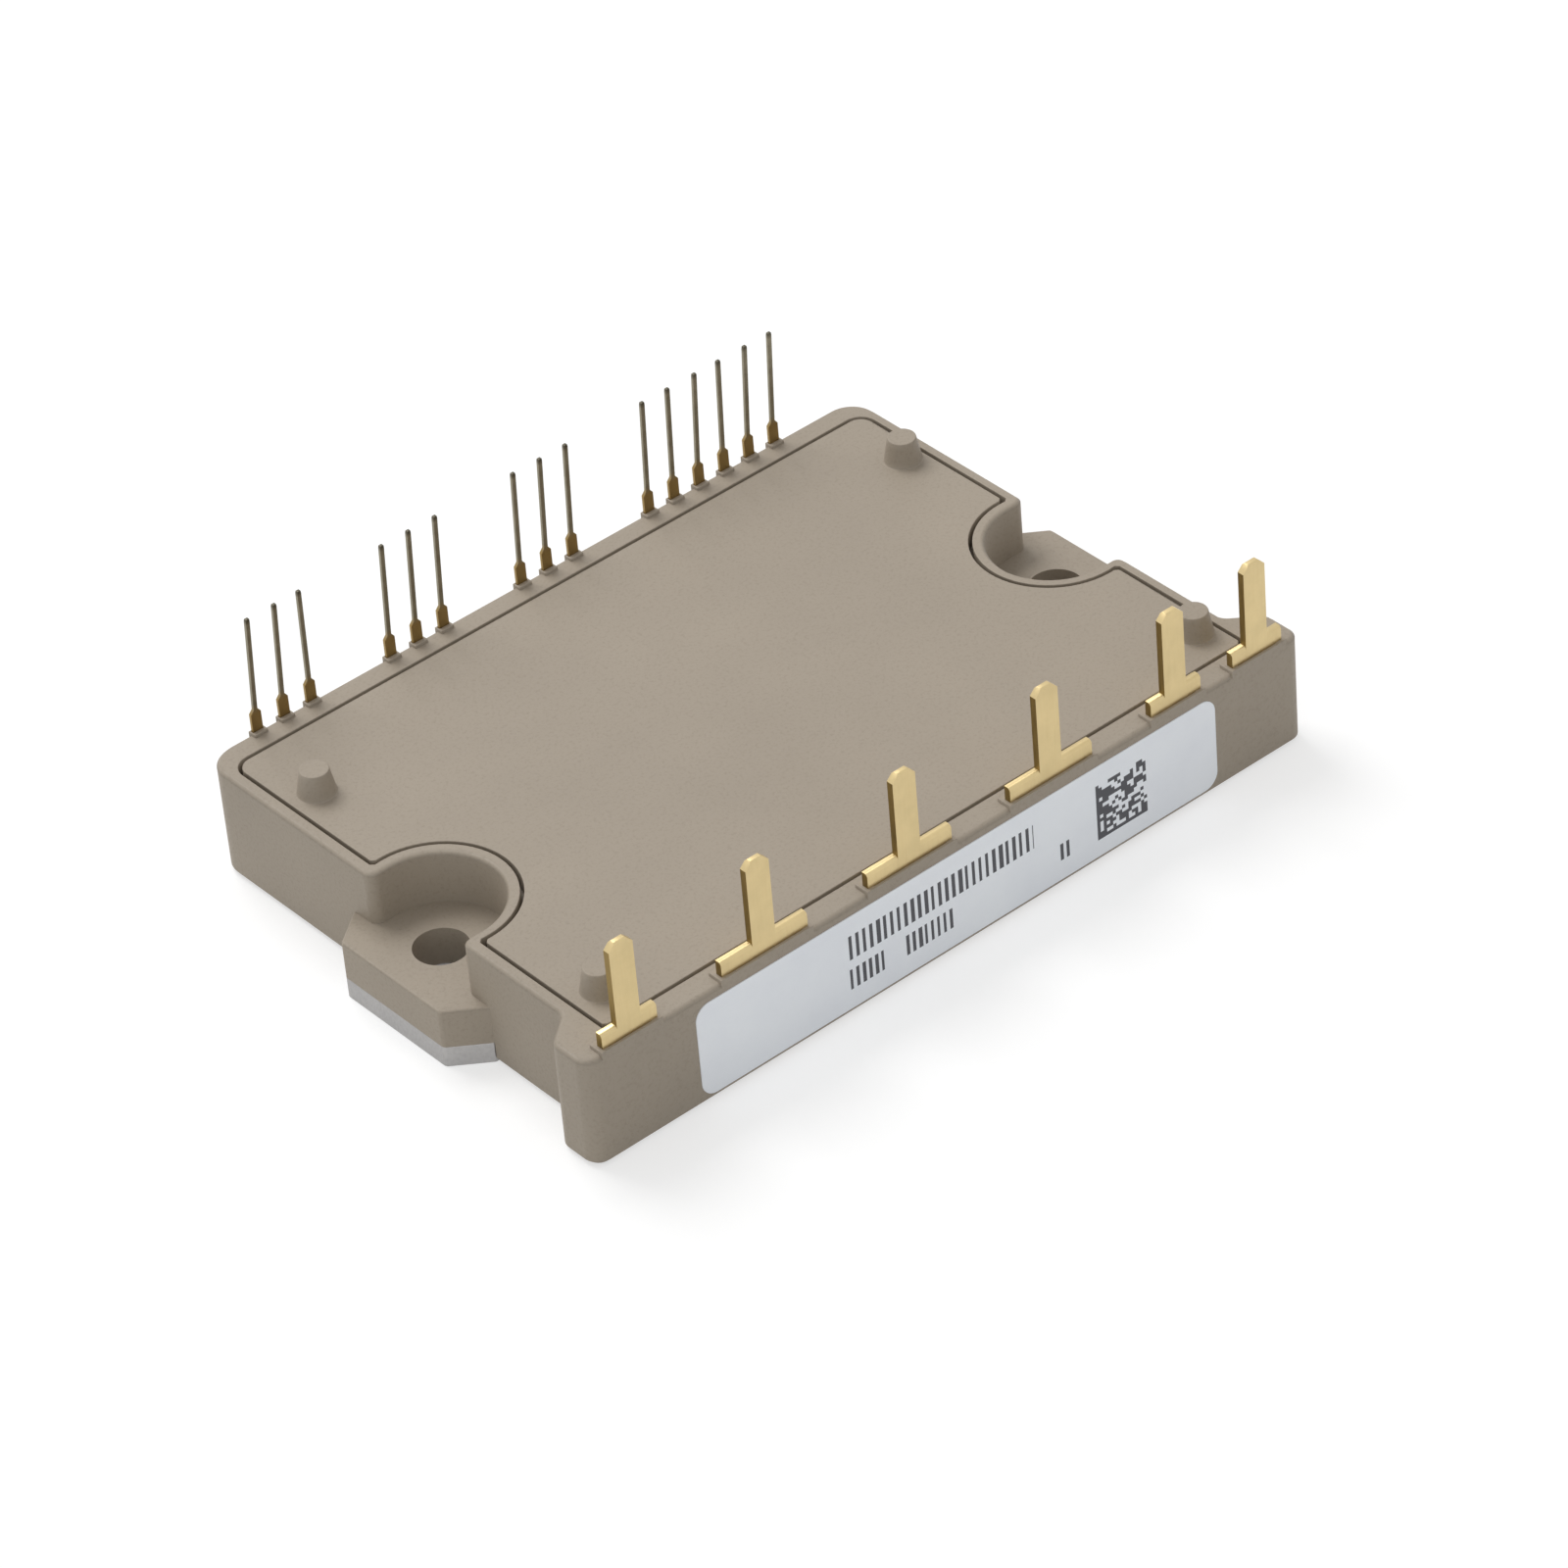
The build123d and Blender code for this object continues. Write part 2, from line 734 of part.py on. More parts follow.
# Soft gel that covers chips and wires up to the underside of the board
with BuildPart() as gel:
    with BuildSketch(Plane.XY.offset(plate_thickness)):
        add(well)
    extrude(amount=foot_bottom - plate_thickness)
    with BuildSketch(Plane.XY.offset(foot_bottom)):
        add(middle)
    extrude(amount=board_bottom - foot_bottom)
    add([insulation.part, solder.part, link_pins], mode=Mode.SUBTRACT)
    add(lands + chips, mode=Mode.SUBTRACT)
    add(terminals, mode=Mode.SUBTRACT)
    add(wires, mode=Mode.SUBTRACT)
save(gel.part, "gel_fill")

# Paper label on the front face
with BuildPart() as label:
    with BuildSketch(Plane.XZ.offset(half_width)):
        with Locations((label_x, label_height)):
            RectangleRounded(label_length, label_width, label_radius)
    extrude(amount=label_thickness)
save(label.part, "label")
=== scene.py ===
"""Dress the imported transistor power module: softened stamped and moulded pieces, their finishes, the
label's generic print, a pale floor, soft lamps and the camera."""

import json
import math

import bmesh
import bpy
from bpy.props import FloatProperty, FloatVectorProperty, IntProperty, PointerProperty
from mathutils import Euler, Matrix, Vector


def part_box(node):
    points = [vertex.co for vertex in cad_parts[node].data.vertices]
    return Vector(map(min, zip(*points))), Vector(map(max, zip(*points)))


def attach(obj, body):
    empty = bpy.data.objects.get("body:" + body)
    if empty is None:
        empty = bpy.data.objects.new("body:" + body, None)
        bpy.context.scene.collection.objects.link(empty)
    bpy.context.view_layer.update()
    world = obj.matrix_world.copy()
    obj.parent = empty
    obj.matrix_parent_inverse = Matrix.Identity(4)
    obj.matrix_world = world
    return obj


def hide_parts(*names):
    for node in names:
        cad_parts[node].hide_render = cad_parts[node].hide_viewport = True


bl_info = {
    "name": "Power module dressing",
    "version": (1, 0, 0),
    "blender": (4, 5, 0),
    "location": "3D View > Sidebar > Power Module",
    "description": "Finishes, label print, floor, lamps and camera for a moulded transistor power module",
    "category": "Object",
}

MM = 0.001
WHITE = (1.0, 1.0, 1.0, 1.0)

# How the CAD meshes are merged: points this near are one, and faces this flat are one
MERGE_DISTANCE = 0.001 * MM
FLAT_ANGLE = math.radians(0.5)
# Edges folded by more than the first angle are rounded, by more than the second shaded as edges
SHARP_ANGLE = math.radians(30.0)
SMOOTH_ANGLE = math.radians(50.0)
BEVEL_SEGMENTS = 2

# The housing is rounded only at edges folded by more than this, from just below the rim's top upwards
RIM_FOLD_ANGLE = math.radians(60.0)
RIM_REACH = 0.05 * MM
LID_THICKNESS = 1.6 * MM

# Faces of a tab whose normal lies this far along X are its sheared sides, which get a darker colour as
# painted shade
SHEARED_SHADED_NORMAL = 0.9

# Painted bands on the pins: the yellow-brown shoulder is a painted reflection of the brown lid and fades out
# above its top; the dark tip is painted shade and begins below the top
PIN_SHOULDER_TOP = 11.5 * MM
PIN_SHOULDER_REFLECTION_FADE = 0.8 * MM
PIN_SHOULDER_REFLECTION_COLOUR = (0.345, 0.227, 0.074)
PIN_TIP_SHADE_START = 0.5 * MM
PIN_TIP_SHADE_END = 0.1 * MM
PIN_PAINTED_BAND_STRENGTH = 0.85
# Sideways lean of each pin's shaft for each length of height, solved from the photo with the fitted camera
PIN_LEANS = (
    0.056, 0.053, 0.022, 0.047, 0.049, 0.048, 0.042, 0.048, 0.044, 0.043, 0.039, 0.059, 0.042, 0.059, 0.053,
)

# Print on the label, from its middle: rows as start, end, bottom, top and pitch of the bars, all in mm
PRINT_ROWS = (
    (-11.0, 6.9, 0.25, 2.4, 0.66),
    (-11.1, -7.7, -2.4, -0.6, 0.6),
    (-5.7, -1.2, -2.4, -0.6, 0.6),
    (9.4, 10.3, -2.35, -0.85, 0.6),
)
# A bar takes up this share of its pitch, and up to the spread more
BAR_SHARE = 0.36
BAR_SPREAD = 0.30
FIRST_BAR_SEED = 21.0
BAR_SEED_STEP = 7.0
# The square of cells: its lower left corner from the label's middle, its side, and the share of pale cells
CODE_LEFT = 13.1 * MM
CODE_BOTTOM = -2.6 * MM
CODE_SIZE = 5.0 * MM
CODE_PALE_SHARE = 0.47

# Floor and lamps
FLOOR_HALF_WIDTH = 1.5
FLOOR_BOUNCE_COLOUR = (0.80, 0.80, 0.79)
LAMP_AIM = (0.0, 0.0, 0.005)
OVERHEAD_PLACE = (-0.02, 0.42, 0.62)
OVERHEAD_SIZE = 0.4
OVERHEAD_COLOUR = (1.0, 0.995, 0.985)
LEFT_PLACE = (-0.62, -0.5, 0.32)
LEFT_SIZE = 0.6
LEFT_COLOUR = (0.80, 0.92, 1.0)

# Camera, as fitted to the photo: its turn is in degrees, its shift in widths of the picture
CAMERA_PLACE = (-0.251224, -0.328605, 0.322352)
CAMERA_TURN = (52.11406, 4.11833, -40.91584)
CAMERA_SHIFT_X = 0.003242
CAMERA_SHIFT_Y = 0.00044
SENSOR_WIDTH = 36.0
CLIP_START = 0.01
CLIP_END = 10.0

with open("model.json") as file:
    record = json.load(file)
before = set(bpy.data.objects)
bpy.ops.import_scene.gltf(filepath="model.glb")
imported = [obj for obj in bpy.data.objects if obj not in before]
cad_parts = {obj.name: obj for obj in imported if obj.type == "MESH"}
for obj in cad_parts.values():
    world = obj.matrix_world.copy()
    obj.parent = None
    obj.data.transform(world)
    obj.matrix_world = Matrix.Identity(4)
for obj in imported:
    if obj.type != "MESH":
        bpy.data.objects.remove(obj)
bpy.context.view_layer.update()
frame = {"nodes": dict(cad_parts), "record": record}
node_names = sorted(frame["nodes"])
slot_of_node = {part["node"]: part["material_slot"] for part in frame["record"]["subparts"]}

tab_nodes = [name for name in node_names if name.startswith("main_terminal")]
pin_nodes = [name for name in node_names if name.startswith("control_pin")]


# Settings that a user would change


class MouldingSettings(bpy.types.PropertyGroup):
    """Look of the moulded housing and lid."""

    colour: FloatVectorProperty(
        name="Colour", description="Mean colour of the moulded plastic", subtype="COLOR",
        size=3, min=0.0, max=1.0, default=(0.338, 0.286, 0.225),
    )
    mottle: FloatProperty(
        name="Mottle", description="How far the colour wanders from its mean", subtype="FACTOR",
        min=0.0, max=1.0, default=0.10,
    )
    roughness: FloatProperty(
        name="Roughness", description="Roughness of the moulded surface", subtype="FACTOR",
        min=0.0, max=1.0, default=0.56,
    )
    grain_depth: FloatProperty(
        name="Grain depth", description="Depth of the fine moulded grain", unit="LENGTH",
        min=0.0, max=0.001, default=0.000012, precision=6,
    )
    edge_radius: FloatProperty(
        name="Lid edge radius", description="Rounding of the lid's edges and of its posts",
        unit="LENGTH", min=0.0, max=0.001, default=0.00012, precision=5,
    )
    rim_edge_radius: FloatProperty(
        name="Rim edge radius", description="Rounding of the rim's inner edge and of the small bosses",
        unit="LENGTH", min=0.0, max=0.001, default=0.00012, precision=5,
    )


class TerminalSettings(bpy.types.PropertyGroup):
    """Look of the stamped tabs and of the thin pins."""

    tab_colour: FloatVectorProperty(
        name="Tab colour", description="Colour of the plating on the tabs", subtype="COLOR",
        size=3, min=0.0, max=1.0, default=(0.64, 0.508, 0.27),
    )
    tab_roughness: FloatProperty(
        name="Tab roughness", description="Roughness of the tabs' faces", subtype="FACTOR",
        min=0.0, max=1.0, default=0.36,
    )
    tab_edge_radius: FloatProperty(
        name="Tab edge radius", description="Rounding that stamping leaves on the tabs' edges",
        unit="LENGTH", min=0.0, max=0.001, default=0.00007, precision=5,
    )
    pin_colour: FloatVectorProperty(
        name="Pin colour", description="Colour of the plating on the pins", subtype="COLOR",
        size=3, min=0.0, max=1.0, default=(0.285, 0.257, 0.19),
    )
    pin_roughness: FloatProperty(
        name="Pin roughness", description="Roughness of the pins' faces", subtype="FACTOR",
        min=0.0, max=1.0, default=0.42,
    )
    pin_edge_radius: FloatProperty(
        name="Pin edge radius", description="Rounding of the pins' edges", unit="LENGTH",
        min=0.0, max=0.001, default=0.00004, precision=5,
    )
    pin_bend: FloatProperty(
        name="Pin bend", description="How far the pins lean, as a share of their lean in the photo",
        subtype="FACTOR", min=0.0, max=1.0, default=1.0,
    )
    # Darker than the plating: painted shade on the tabs' side faces
    sheared_side_painted_shade_colour: FloatVectorProperty(
        name="Sheared edge colour", description="Colour of the tabs' sheared side faces",
        subtype="COLOR", size=3, min=0.0, max=1.0, default=(0.28, 0.195, 0.066),
    )


class PlateSettings(bpy.types.PropertyGroup):
    """Look of the metal base plate."""

    colour: FloatVectorProperty(
        name="Colour", description="Colour of the base plate", subtype="COLOR",
        size=3, min=0.0, max=1.0, default=(0.41, 0.40, 0.393),
    )
    roughness: FloatProperty(
        name="Roughness", description="Roughness of the base plate", subtype="FACTOR",
        min=0.0, max=1.0, default=0.45,
    )
    edge_radius: FloatProperty(
        name="Edge radius", description="Rounding of the punched edges", unit="LENGTH",
        min=0.0, max=0.001, default=0.00015, precision=5,
    )


class LabelSettings(bpy.types.PropertyGroup):
    """Look of the paper label and its generic print."""

    colour: FloatVectorProperty(
        name="Paper colour", description="Colour of the bare label", subtype="COLOR",
        size=3, min=0.0, max=1.0, default=(0.91, 0.935, 0.985),
    )
    ink: FloatVectorProperty(
        name="Ink colour", description="Colour of the print", subtype="COLOR",
        size=3, min=0.0, max=1.0, default=(0.055, 0.055, 0.065),
    )
    code_cells: IntProperty(
        name="Code cells", description="Cells along one side of the square block", min=4, max=40,
        default=16,
    )


class StageSettings(bpy.types.PropertyGroup):
    """Floor, lamps and camera."""

    floor_colour: FloatVectorProperty(
        name="Floor colour", description="Colour of the floor as the camera sees it",
        subtype="COLOR", size=3, min=0.0, max=1.0, default=(0.97, 0.97, 0.97),
    )
    shadow_depth: FloatProperty(
        name="Shadow depth", description="Depth of the floor's shadow as the camera sees it",
        subtype="FACTOR", min=0.0, max=1.0, default=0.5,
    )
    floor_glow: FloatProperty(
        name="Floor glow", description="Even white that the floor adds for the camera", min=0.0,
        max=1.0, default=0.58,
    )
    key_power: FloatProperty(
        name="Key lamp", description="Power of the large lamp overhead", unit="POWER",
        min=0.0, max=200.0, default=3.0,
    )
    side_power: FloatProperty(
        name="Side lamp", description="Power of the lamp at the left", unit="POWER",
        min=0.0, max=200.0, default=0.57,
    )
    sky_level: FloatProperty(
        name="Sky level", description="Strength of the even light from all round", min=0.0,
        max=2.0, default=0.55,
    )
    focal_length: FloatProperty(
        name="Focal length", description="Focal length in millimetres on a 36 mm wide sensor",
        min=10.0, max=500.0, default=160.84,
    )


# Node helpers


class Finish:
    """A procedural material that is being put together."""

    def __init__(self, name, roughness=0.5, metallic=0.0):
        self.material = bpy.data.materials.new(name)
        self.material.use_nodes = True
        self.nodes = self.material.node_tree.nodes
        self.links = self.material.node_tree.links
        self.shader = self.nodes["Principled BSDF"]
        self.shader.inputs["Roughness"].default_value = roughness
        self.shader.inputs["Metallic"].default_value = metallic
        self.place = self.nodes.new("ShaderNodeTexCoord").outputs["Object"]

    def plug(self, socket, value):
        """Link value when it is a socket, or else write it as the socket's own value."""
        if isinstance(value, bpy.types.NodeSocket):
            self.links.new(value, socket)
        elif socket.type == "RGBA":
            socket.default_value = (*value, 1.0)
        else:
            socket.default_value = value

    def stretched(self, scale):
        """Object coordinates, scaled along each axis."""
        node = self.nodes.new("ShaderNodeMapping")
        node.inputs["Scale"].default_value = scale
        self.links.new(self.place, node.inputs["Vector"])
        return node.outputs["Vector"]

    def noise(self, scale, detail=3.0, rough=0.6, place=None):
        """Soft noise from 0 to 1, with the given number of lumps to a metre."""
        node = self.nodes.new("ShaderNodeTexNoise")
        node.inputs["Scale"].default_value = scale
        node.inputs["Detail"].default_value = detail
        node.inputs["Roughness"].default_value = rough
        self.links.new(place or self.place, node.inputs["Vector"])
        return node.outputs["Fac"]

    def streaks(self, scale, detail=3.0, rough=0.6):
        """Noise from 0 to 1 whose lumps differ in length along each axis."""
        return self.noise(1.0, detail, rough, self.stretched(scale))

    def span(self, value, low, high, to_low=0.0, to_high=1.0):
        """Stretch value from low..high to to_low..to_high, and clamp it there."""
        node = self.nodes.new("ShaderNodeMapRange")
        self.plug(node.inputs["Value"], value)
        node.inputs["From Min"].default_value = low
        node.inputs["From Max"].default_value = high
        node.inputs["To Min"].default_value = to_low
        node.inputs["To Max"].default_value = to_high
        return node.outputs["Result"]

    def math(self, operation, *values):
        """One arithmetic step."""
        node = self.nodes.new("ShaderNodeMath")
        node.operation = operation
        for socket, value in zip(node.inputs, values):
            self.plug(socket, value)
        return node.outputs["Value"]

    def blend(self, factor, first, second):
        """Colour between first and second."""
        node = self.nodes.new("ShaderNodeMix")
        node.data_type = "RGBA"
        self.plug(node.inputs["Factor"], factor)
        colours = [socket for socket in node.inputs if socket.type == "RGBA"]
        self.plug(colours[0], first)
        self.plug(colours[1], second)
        return [socket for socket in node.outputs if socket.type == "RGBA"][0]

    def toned(self, noise, colour, darkest, lightest, low=0.3, high=0.7):
        """The colour, from a darker to a lighter tone where the noise goes from low to high."""
        return self.blend(self.span(noise, low, high), shade(colour, darkest), shade(colour, lightest))

    def axes(self):
        """The three object coordinates, by the names of their axes."""
        node = self.nodes.new("ShaderNodeSeparateXYZ")
        self.links.new(self.place, node.inputs["Vector"])
        return node.outputs

    def colour(self, value):
        """Set the colour of the finish."""
        self.plug(self.shader.inputs["Base Color"], value)

    def roughness(self, noise, mean, less, more):
        """Let the roughness wander with the noise, from less below its mean to more above it."""
        self.plug(self.shader.inputs["Roughness"], self.span(noise, 0.3, 0.7, mean - less, mean + more))

    def bump(self, height, depth, strength=0.5):
        """Relief of the surface."""
        node = self.nodes.new("ShaderNodeBump")
        node.inputs["Strength"].default_value = strength
        node.inputs["Distance"].default_value = depth
        self.links.new(height, node.inputs["Height"])
        self.links.new(node.outputs["Normal"], self.shader.inputs["Normal"])


def shade(colour, factor):
    """The colour made darker or lighter."""
    return tuple(min(1.0, part * factor) for part in colour)


def looked_at(tree):
    """1 for what the camera, the gloss and the transmission see, or else 0."""
    path = tree.nodes.new("ShaderNodeLightPath")
    seen = path.outputs["Is Camera Ray"]
    for ray in ("Is Glossy Ray", "Is Transmission Ray"):
        either = tree.nodes.new("ShaderNodeMath")
        either.operation = "MAXIMUM"
        tree.links.new(seen, either.inputs[0])
        tree.links.new(path.outputs[ray], either.inputs[1])
        seen = either.outputs["Value"]
    return seen


# Piece helpers


def wear(piece, material):
    """Give a piece its finish, as its only material."""
    piece.data.materials.clear()
    piece.data.materials.append(material)


def coat(node, material):
    """Give a CAD node a finish without touching its mesh."""
    for slot in frame["nodes"][node].material_slots:
        slot.material = material


def coat_by_slot(materials):
    """Give each CAD node the finish that is listed for its slot of the record, if there is one."""
    for node in node_names:
        if slot_of_node[node] in materials:
            coat(node, materials[slot_of_node[node]])


def softened(node, name, edge_radius, chosen=None):
    """A merged copy of a CAD node with its sharp edges rounded, which stands for the node."""
    shape = bmesh.new()
    shape.from_mesh(frame["nodes"][node].data)
    bmesh.ops.remove_doubles(shape, verts=shape.verts, dist=MERGE_DISTANCE)
    bmesh.ops.dissolve_limit(
        shape, angle_limit=FLAT_ANGLE, verts=shape.verts, edges=shape.edges, use_dissolve_boundaries=False,
    )
    sharp = [
        edge for edge in shape.edges
        if edge.is_manifold and edge.calc_face_angle() > SHARP_ANGLE
        and (chosen is None or chosen(edge))
    ]
    bmesh.ops.bevel(
        shape, geom=sharp, offset=edge_radius, offset_type="OFFSET", segments=BEVEL_SEGMENTS, profile=0.5,
        affect="EDGES", clamp_overlap=True, material=-1,
    )
    mesh = bpy.data.meshes.new(name)
    shape.to_mesh(mesh)
    shape.free()
    # The copy still carries the CAD mesh's normals, which don't fit its new faces
    if "custom_normal" in mesh.attributes:
        mesh.attributes.remove(mesh.attributes["custom_normal"])
    mesh.shade_smooth()
    mesh.set_sharp_from_angle(angle=SMOOTH_ANGLE)
    piece = bpy.data.objects.new(name, mesh)
    bpy.context.scene.collection.objects.link(piece)
    flat_faces = piece.modifiers.new("large_faces_stay_flat", "WEIGHTED_NORMAL")
    flat_faces.mode = "FACE_AREA"
    flat_faces.keep_sharp = True
    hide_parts(node)
    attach(piece, "root")
    return piece


def lean(piece, foot_height, slope):
    """Tilt along X what stands above foot_height."""
    for vertex in piece.data.vertices:
        vertex.co.x += slope * max(0.0, vertex.co.z - foot_height)


# Finishes


def moulded_plastic(settings):
    """Matte grey-brown moulding compound: mottled, finely speckled and grained."""
    finish = Finish("moulded_plastic")
    base = tuple(settings.colour)
    wander = settings.mottle
    clouds = finish.noise(70.0, rough=0.55)
    flow = finish.streaks((24.0, 190.0, 60.0))
    speckle = finish.noise(3800.0, detail=2.0, rough=0.7)
    colour = finish.toned(clouds, base, 1.0 - wander / 2, 1.0 + wander / 2, low=0.25, high=0.75)
    colour = finish.blend(finish.span(flow, 0.35, 0.8, to_high=wander), colour, shade(base, 1.25))
    colour = finish.blend(finish.span(speckle, 0.52, 0.75, to_high=0.30), colour, shade(base, 0.62))
    finish.colour(colour)
    finish.roughness(speckle, settings.roughness, 0.06, 0.08)
    finish.bump(finish.noise(5200.0, rough=0.65), settings.grain_depth, strength=0.8)
    return finish.material


def plated_gold(settings):
    """Satin gold plating over stamped copper, a little uneven."""
    finish = Finish("plated_gold", metallic=1.0)
    patches = finish.noise(420.0)
    finish.colour(finish.toned(patches, tuple(settings.tab_colour), 0.94, 1.05))
    drawn = finish.streaks((5200.0, 5200.0, 340.0), detail=2.0)
    finish.roughness(drawn, settings.tab_roughness, 0.05, 0.08)
    finish.bump(drawn, 0.003 * MM)
    return finish.material


def sheared_metal_painted_shade(settings):
    """Side faces of the tabs, where the strip was cut: darker as painted shade, with fine upright tears."""
    finish = Finish("sheared_metal_painted_shade", metallic=1.0)
    tears = finish.streaks((3000.0, 9000.0, 600.0), rough=0.65)
    finish.colour(finish.toned(tears, tuple(settings.sheared_side_painted_shade_colour), 0.8, 1.2))
    finish.roughness(tears, 0.5, 0.08, 0.1)
    finish.bump(tears, 0.006 * MM)
    return finish.material


def plated_pin_with_painted_light(settings):
    """Thinner, duller plating of the pins, with a yellow shoulder that is a painted reflection of the lid and
    a dark tip that is painted shade.
    """
    finish = Finish("plated_pin_with_painted_light", metallic=1.0)
    base = tuple(settings.pin_colour)
    height = finish.axes()["Z"]
    top = max(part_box(node)[1].z for node in pin_nodes)
    patches = finish.noise(900.0)
    colour = finish.toned(patches, base, 0.86, 1.12)
    # Painted shade: the tip turns dark towards its top
    tip = finish.span(height, top - PIN_TIP_SHADE_START, top - PIN_TIP_SHADE_END, to_high=PIN_PAINTED_BAND_STRENGTH)
    colour = finish.blend(tip, colour, shade(base, 0.3))
    # Painted reflection of the brown lid: the shoulder turns yellow-brown below its top
    shoulder = finish.span(
        height, PIN_SHOULDER_TOP, PIN_SHOULDER_TOP + PIN_SHOULDER_REFLECTION_FADE, to_low=PIN_PAINTED_BAND_STRENGTH, to_high=0.0,
    )
    finish.colour(finish.blend(shoulder, colour, PIN_SHOULDER_REFLECTION_COLOUR))
    finish.roughness(patches, settings.pin_roughness, 0.06, 0.08)
    return finish.material


def rolled_plate(settings):
    """Pale metal plate with rolling lines and a fine matte skin."""
    finish = Finish("rolled_plate", metallic=1.0)
    base = tuple(settings.colour)
    lines = finish.streaks((60.0, 5200.0, 2600.0))
    clouds = finish.noise(110.0)
    colour = finish.toned(clouds, base, 0.93, 1.05)
    finish.colour(finish.blend(finish.span(lines, 0.45, 0.75, to_high=0.35), colour, shade(base, 0.82)))
    finish.roughness(lines, settings.roughness, 0.08, 0.1)
    finish.bump(lines, 0.0015 * MM)
    return finish.material


class LabelPrint:
    """The label's generic print, worked out from two coordinates that start at the label's middle."""

    def __init__(self, finish, along, up):
        self.finish = finish
        self.along = along
        self.up = up

    def inside(self, value, start, end):
        """1 between start and end, or else 0."""
        past = self.finish.math("GREATER_THAN", value, start)
        before = self.finish.math("LESS_THAN", value, end)
        return self.finish.math("MULTIPLY", past, before)

    def pitches(self, value, start, pitch):
        """How many pitches value lies beyond start."""
        return self.finish.math("DIVIDE", self.finish.math("SUBTRACT", value, start), pitch)

    def chance(self, kind, socket, value):
        """A number from 0 to 1 that stays the same for the same value."""
        node = self.finish.nodes.new("ShaderNodeTexWhiteNoise")
        node.noise_dimensions = kind
        self.finish.plug(node.inputs[socket], value)
        return node.outputs["Value"]

    def bars(self, start, end, bottom, top, pitch, seed):
        """A row of upright bars whose widths differ."""
        math_step = self.finish.math
        pitches = self.pitches(self.along, start, pitch)
        number = math_step("FLOOR", pitches)
        luck = self.chance("1D", "W", math_step("ADD", number, seed))
        width = math_step("MULTIPLY_ADD", luck, BAR_SPREAD, BAR_SHARE)
        shown = math_step("LESS_THAN", math_step("FRACT", pitches), width)
        row = math_step("MULTIPLY", self.inside(self.along, start, end), self.inside(self.up, bottom, top))
        return math_step("MULTIPLY", shown, row)

    def cells(self, left, bottom, size, count):
        """A square of dark and pale cells, dark along its left and lower sides."""
        math_step = self.finish.math
        column = math_step("FLOOR", self.pitches(self.along, left, size / count))
        rank = math_step("FLOOR", self.pitches(self.up, bottom, size / count))
        joined = self.finish.nodes.new("ShaderNodeCombineXYZ")
        self.finish.plug(joined.inputs["X"], column)
        self.finish.plug(joined.inputs["Y"], rank)
        luck = self.chance("3D", "Vector", joined.outputs["Vector"])
        dark = math_step("GREATER_THAN", luck, CODE_PALE_SHARE)
        for line in (column, rank):
            dark = math_step("MAXIMUM", dark, math_step("LESS_THAN", line, 0.5))
        across = self.inside(self.along, left, left + size)
        upward = self.inside(self.up, bottom, bottom + size)
        return math_step("MULTIPLY", dark, math_step("MULTIPLY", across, upward))


def printed_label(settings):
    """Pale satin label with rows of upright bars and one square of cells in place of words."""
    finish = Finish("printed_label", roughness=0.42)
    paper = tuple(settings.colour)
    fibre = finish.noise(4200.0, detail=2.0)
    sheet = finish.toned(finish.noise(160.0), paper, 0.97, 1.03)
    sheet = finish.blend(finish.span(fibre, 0.5, 0.8, to_high=0.12), sheet, shade(paper, 0.86))

    low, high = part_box("label")
    middle = (low + high) / 2
    axes = finish.axes()
    printing = LabelPrint(
        finish, finish.math("SUBTRACT", axes["X"], middle.x), finish.math("SUBTRACT", axes["Z"], middle.z)
    )
    ink = printing.cells(CODE_LEFT, CODE_BOTTOM, CODE_SIZE, settings.code_cells)
    for number, row in enumerate(PRINT_ROWS):
        seed = FIRST_BAR_SEED + number * BAR_SEED_STEP
        ink = finish.math("MAXIMUM", ink, printing.bars(*(length * MM for length in row), seed))
    finish.colour(finish.blend(ink, sheet, tuple(settings.ink)))
    finish.bump(fibre, 0.002 * MM)
    return finish.material


def plain_finish(name, colour, roughness, metallic=0.0, lumps=900.0, contrast=0.12, depth=0.002):
    """A finish for the inner pieces: colour and roughness wander on one noise. depth is in mm."""
    finish = Finish(name, metallic=metallic)
    noise = finish.noise(lumps)
    finish.colour(finish.toned(noise, colour, 1.0 - contrast, 1.0 + contrast))
    finish.roughness(noise, roughness, 0.06, 0.06)
    finish.bump(noise, depth * MM)
    return finish.material


# Operators


class POWERMODULE_OT_moulding(bpy.types.Operator):
    """Finish the moulded housing and its flush lid"""

    bl_idname = "powermodule.moulding"
    bl_label = "Housing and Lid"

    def execute(self, context):
        settings = context.scene.module_moulding
        material = moulded_plastic(settings)
        rim_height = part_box("lid")[0].z + LID_THICKNESS

        def on_rim(edge):
            """Outward edges at the rim's top, and above it on the bosses."""
            folded = edge.calc_face_angle() > RIM_FOLD_ANGLE
            return folded and edge.is_convex and min(v.co.z for v in edge.verts) > rim_height - RIM_REACH

        housing = softened("housing", "moulded_housing", settings.rim_edge_radius, chosen=on_rim)
        wear(housing, material)
        lid = softened("lid", "moulded_lid", settings.edge_radius)
        wear(lid, material)
        return {"FINISHED"}


